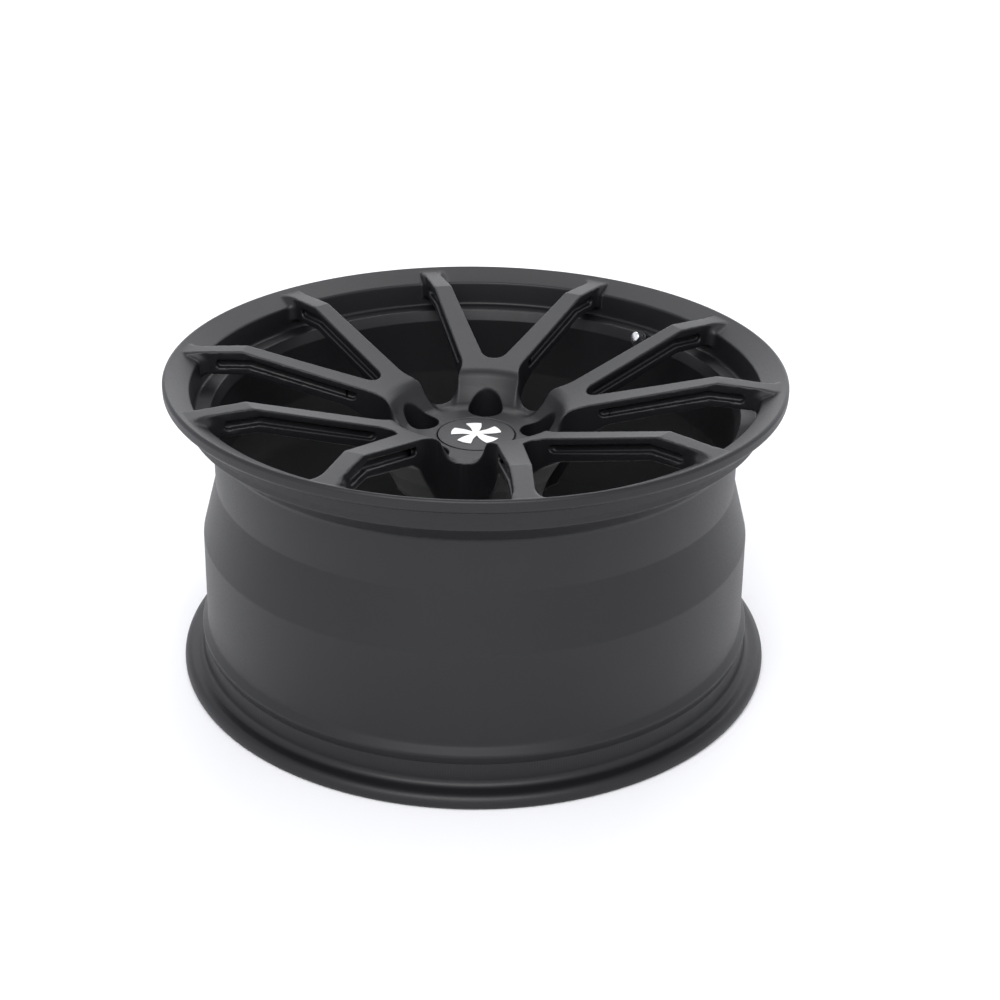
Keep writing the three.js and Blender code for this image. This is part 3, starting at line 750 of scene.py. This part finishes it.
def core_spring():
    work = bmesh.new()
    steps, sides = SPRING_TURNS * 20, 8
    rows = []
    for i in range(steps + 1):
        angle = 2 * math.pi * SPRING_TURNS * i / steps
        height = SPRING_LOW + (SPRING_HIGH - SPRING_LOW) * i / steps
        circle = wire_circle(SPRING_RADIUS, height, SPRING_WIRE, sides)
        rows.append([work.verts.new((r * math.cos(angle), r * math.sin(angle), z)) for r, z in circle])
    for here, there in zip(rows, rows[1:]):
        for j in range(sides):
            work.faces.new([here[j], there[j], there[(j + 1) % sides], here[(j + 1) % sides]])
    work.faces.new(rows[0])
    work.faces.new(rows[-1][::-1])
    return finished("valve_core_spring", work, "core_pin", "spring_steel", spring_steel, ON_VALVE)


THREAD_PITCH, THREAD_DEPTH, THREAD_LOW, THREAD_HIGH = 0.794, 0.35, 4.6, 9.4


def threaded(radius):
    """Rounds of a thread, from its low end up."""
    rings = []
    for number in range(int((THREAD_HIGH - THREAD_LOW) / THREAD_PITCH)):
        height = THREAD_LOW + number * THREAD_PITCH
        rings += [(radius, height), (radius - THREAD_DEPTH, height + THREAD_PITCH / 2)]
    return rings


def valve_pieces():
    def part(name, outline, body, slot, material, steps=48):
        turned(name, outline, body, slot, material, ON_VALVE, steps)

    stem = rounded([
        (1.9, -16.2, 0.2), (8.7, -16.2, 0.5), (8.7, -13.3, 0.4), (4.1, -13.3), (4.1, 4, 0.2), (3.85, 4.4),
    ])
    top = [(3.85, 9.6), (3.6, 10), (2.8, 10), (2.7, 9.9), (2.7, -3), (1.9, -3)]
    part("valve_stem", [*map(tuple, stem), *threaded(3.85), *top], "wheel", "valve_brass", valve_brass)
    part("valve_seal", rounded([
        (4.4, -13), (8.2, -13, 0.6), (8.2, -10.4, 0.9), (5.5, -10.4, 0.4), (5.5, -5, 0.4), (4.4, -5),
    ]), "wheel", "black_rubber", black_rubber)
    part("valve_washer", rounded([
        (4.5, -2.2, 0.15), (7.9, -2.2, 0.3), (7.9, -1.2, 0.3), (4.5, -1.2, 0.15),
    ]), "wheel", "anodised_black", anodised_black)
    part("valve_nut", [
        (4.4, -0.9), (6.9, -0.9, hexagon), (7.5, -0.5, hexagon), (7.5, 3.4, hexagon), (6.9, 3.9, hexagon),
        (6.2, 3.9), (4.7, 3.9), (4.4, 3.6),
    ], "wheel", "anodised_black", anodised_black, 72)
    part("valve_core", rounded([
        (1.75, -2.5), (2.4, -2.5, 0.1), (2.4, 8.2, 0.3), (0.95, 8.2), (0.95, 4), (1.75, 4),
    ]), "wheel", "valve_brass", valve_brass)
    part("valve_core_pin", [
        (0, -5.5), (1.3, -5.5), (1.5, -5.3), (1.5, -4.7), (0.6, -4.7), (0.6, 9.1), (0.4, 9.3), (0, 9.3),
    ], "core_pin", "valve_brass", valve_brass, 32)
    part("valve_core_seal", rounded([
        (0.9, -4.4), (1.6, -4.4, 0.2), (1.6, -3.4, 0.2), (0.9, -3.4),
    ]), "core_pin", "black_rubber", black_rubber, 32)
    core_spring()
    part("valve_cap_seal", rounded([
        (1.3, 10.3, 0.1), (3.8, 10.3, 0.15), (3.8, 11, 0.15), (1.3, 11, 0.1),
    ]), "cap_seal", "black_rubber", black_rubber)
    part("valve_cap", [
        (4.2, 4.8), (4.6, 4.8), (4.85, 5.1, fluted), (4.9, 5.6, fluted), (4.9, 11.2, fluted), (4.7, 11.9),
        (4.65, 12.5), (4.3, 12.9), (3.9, 13), (0, 13), (0, 11.3), (4.2, 11.3),
    ], "valve_cap", "bright_metal", bright_metal, 144)


# ---- Materials ----
def new_material(name):
    material = bpy.data.materials.new(name)
    material.use_nodes = True
    tree = material.node_tree
    return material, tree, tree.nodes["Principled BSDF"]


def noise(tree, scale, detail=3.0):
    place = tree.nodes.new("ShaderNodeTexCoord")
    node = tree.nodes.new("ShaderNodeTexNoise")
    node.inputs["Scale"].default_value = scale
    node.inputs["Detail"].default_value = detail
    tree.links.new(place.outputs["Object"], node.inputs["Vector"])
    return node.outputs["Fac"]


def ranged(tree, value, low, high, start=0.3, end=0.7):
    node = tree.nodes.new("ShaderNodeMapRange")
    node.inputs["From Min"].default_value = start
    node.inputs["From Max"].default_value = end
    node.inputs["To Min"].default_value = low
    node.inputs["To Max"].default_value = high
    tree.links.new(value, node.inputs["Value"])
    return node.outputs["Result"]


def blended(tree, factor, low, high):
    node = tree.nodes.new("ShaderNodeMix")
    node.data_type = "RGBA"
    tree.links.new(factor, node.inputs[0])
    for socket, colour in ((node.inputs[6], low), (node.inputs[7], high)):
        if isinstance(colour, tuple):
            socket.default_value = (*colour, 1)
        else:
            tree.links.new(colour, socket)
    return node.outputs[2]


def bumped(tree, shader, height, strength, distance):
    node = tree.nodes.new("ShaderNodeBump")
    node.inputs["Strength"].default_value = strength
    node.inputs["Distance"].default_value = distance
    tree.links.new(height, node.inputs["Height"])
    tree.links.new(node.outputs["Normal"], shader.inputs["Normal"])


def worked(tree, operation, *values):
    """Result of a maths node fed with sockets or numbers."""
    node = tree.nodes.new("ShaderNodeMath")
    node.operation = operation
    for socket, value in zip(node.inputs, values):
        if isinstance(value, (int, float)):
            socket.default_value = value
        else:
            tree.links.new(value, socket)
    return node.outputs[0]


# ---- Knurling, in metres of the frame ----
KNURL_LOW, KNURL_HIGH, KNURL_RADIUS, KNURL_LINES = 0.0195, 0.0305, 0.25, 720


def knurl(tree):
    """Height of the fine upright lines rolled round the inner bead seat."""
    place = tree.nodes.new("ShaderNodeTexCoord")
    split = tree.nodes.new("ShaderNodeSeparateXYZ")
    tree.links.new(place.outputs["Object"], split.inputs[0])
    x, y, z = split.outputs
    lines = worked(tree, "SINE", worked(tree, "MULTIPLY", worked(tree, "ARCTAN2", y, x), KNURL_LINES))
    above = worked(tree, "GREATER_THAN", z, KNURL_LOW)
    below = worked(tree, "LESS_THAN", z, KNURL_HIGH)
    square = worked(tree, "ADD", worked(tree, "POWER", x, 2), worked(tree, "POWER", y, 2))
    outside = worked(tree, "GREATER_THAN", square, KNURL_RADIUS ** 2)
    band = worked(tree, "MULTIPLY", worked(tree, "MULTIPLY", above, below), outside)
    return worked(tree, "MULTIPLY", lines, band)


COAT_SPECULAR = 0.42


def coated(name, dark, light, edge_wear_and_highlight, roughness, metallic=0.0, grain=900.0, bump=0.12):
    """A coated surface: clouded colour, slightly lighter on convex edges as slight edge wear and a painted
    edge highlight, with a fine grain.
    """
    material, tree, shader = new_material(name)
    cloud = ranged(tree, noise(tree, 14.0), 0, 1)
    speckle = noise(tree, grain, 2.0)
    edge = tree.nodes.new("ShaderNodeAttribute")
    edge.attribute_name = "edge"
    # Lighter colour on convex edges, from the edge measure: slight edge wear and a painted edge highlight.
    edge_wear_and_highlight_share = ranged(tree, edge.outputs["Fac"], 0, 1, 0.25, 0.9)
    body = blended(tree, cloud, dark, light)
    tree.links.new(blended(tree, edge_wear_and_highlight_share, body, edge_wear_and_highlight), shader.inputs["Base Color"])
    tree.links.new(ranged(tree, speckle, roughness - 0.04, roughness + 0.05), shader.inputs["Roughness"])
    shader.inputs["Metallic"].default_value = metallic
    shader.inputs["Specular IOR Level"].default_value = COAT_SPECULAR
    height = worked(tree, "ADD", speckle, knurl(tree)) if name == "satin_black" else speckle
    bumped(tree, shader, height, bump, 0.0002)
    return material


# The third colour of each coat is its colour on convex edges: slight edge wear and a painted edge highlight.
satin_black = coated(
    "satin_black", (0.0045, 0.0043, 0.0055), (0.006, 0.0058, 0.007), (0.02, 0.02, 0.023), 0.45,
)
cap_black = coated("cap_black", (0.02, 0.02, 0.021), (0.026, 0.026, 0.028), (0.05, 0.05, 0.05), 0.5)
emblem_white = coated("emblem_white", (0.8, 0.8, 0.79), (0.86, 0.86, 0.85), (0.9, 0.9, 0.9), 0.4)
spring_steel = coated("spring_steel", (0.5, 0.5, 0.52), (0.62, 0.62, 0.64), (0.75, 0.75, 0.76), 0.32, 1.0)
valve_brass = coated("valve_brass", (0.55, 0.4, 0.17), (0.66, 0.5, 0.24), (0.8, 0.66, 0.4), 0.3, 1.0)
bright_metal = coated("bright_metal", (0.7, 0.7, 0.71), (0.82, 0.82, 0.83), (0.9, 0.9, 0.9), 0.22, 1.0)
anodised_black = coated(
    "anodised_black", (0.02, 0.02, 0.022), (0.03, 0.03, 0.032), (0.12, 0.12, 0.12), 0.35, 0.6,
)
black_rubber = coated(
    "black_rubber", (0.012, 0.012, 0.012), (0.02, 0.02, 0.02), (0.03, 0.03, 0.03), 0.8, bump=0.3,
)

forging_pieces()
centre_cap()
cap_emblem()
spreader = wire_circle(27.3, -81, 0.6)
turned("cap_retaining_ring", spreader, "centre_cap", "spring_steel", spring_steel, ON_AXIS, 96)
valve_pieces()

# ---- Floor, light and camera ----
floor_mesh = bpy.data.meshes.new("floor")
reach = 2.4
corners = [(-reach, -reach, 0), (reach, -reach, 0), (reach, reach, 0), (-reach, reach, 0)]
floor_mesh.from_pydata(corners, [], [(0, 1, 2, 3)])
floor = bpy.data.objects.new("floor", floor_mesh)
floor.location.z = cad_low.z - 0.0002
bpy.context.scene.collection.objects.link(floor)
floor_material, floor_tree, floor_shader = new_material("pale_floor")
tint = blended(floor_tree, noise(floor_tree, 3.0), (0.93, 0.93, 0.93), (0.95, 0.95, 0.95))
floor_tree.links.new(tint, floor_shader.inputs["Base Color"])
floor_shader.inputs["Roughness"].default_value = 0.9
floor_mesh.materials.append(floor_material)
floor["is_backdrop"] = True

HORIZON, ZENITH = 1.12, 0.45          # the studio is white all round, and dimmer overhead
world = bpy.data.worlds.new("studio")
world.use_nodes = True
world.node_tree.nodes["Background"].inputs["Color"].default_value = (0.97, 0.98, 1.05, 1)
sky = world.node_tree
look = sky.nodes.new("ShaderNodeTexCoord")
split = sky.nodes.new("ShaderNodeSeparateXYZ")
sky.links.new(look.outputs["Generated"], split.inputs[0])
brightness = ranged(sky, split.outputs[2], HORIZON, ZENITH, 0.3, 0.95)
sky.links.new(brightness, sky.nodes["Background"].inputs["Strength"])
bpy.context.scene.world = world
bpy.context.scene.view_settings.view_transform = "Standard"


def softbox(name, position, target, size, power):
    light = bpy.data.lights.new(name, "AREA")
    light.shape = "RECTANGLE"
    light.size, light.size_y = size
    light.energy = power
    lamp = bpy.data.objects.new(name, light)
    lamp.location = position
    lamp.rotation_euler = (Vector(target) - Vector(position)).to_track_quat("-Z", "Y").to_euler()
    bpy.context.scene.collection.objects.link(lamp)
    return lamp


wheel_middle = Vector((0, 0, WIDTH * MM / 2))
softbox("back", (0, 2.6, 0.9), wheel_middle, (4.0, 1.6), 20)
softbox("overhead", (0, 1.0, 1.8), wheel_middle, (1.6, 0.8), 14)
softbox("front", (0, -1.4, 1.7), wheel_middle, (1.8, 0.9), 30)

ELEVATION = math.radians(26.5734)
ROLL = math.radians(0.8943)
TURN = math.radians(7.6583)
DISTANCE, ASIDE, ABOVE = 5.091568, 0.081976, -0.441799      # in flange radii
forward = Vector((0, math.cos(ELEVATION), -math.sin(ELEVATION)))
right = Vector((1, 0, 0))
up = Vector((0, math.sin(ELEVATION), math.cos(ELEVATION)))
eye = (-DISTANCE * forward + ASIDE * right + ABOVE * up) * FLANGE_RADIUS * MM + Vector((0, 0, WIDTH * MM))
side = math.cos(ROLL) * right + math.sin(ROLL) * up
top = -math.sin(ROLL) * right + math.cos(ROLL) * up
axes = Matrix((side, top, -forward)).transposed().to_4x4()
lens = bpy.data.cameras.new("camera")
lens.lens = 56.70
lens.sensor_width = 36
camera = bpy.data.objects.new("camera", lens)
camera.matrix_world = Matrix.Rotation(TURN, 4, "Z") @ Matrix.Translation(eye) @ axes
bpy.context.scene.collection.objects.link(camera)
bpy.context.scene.camera = camera
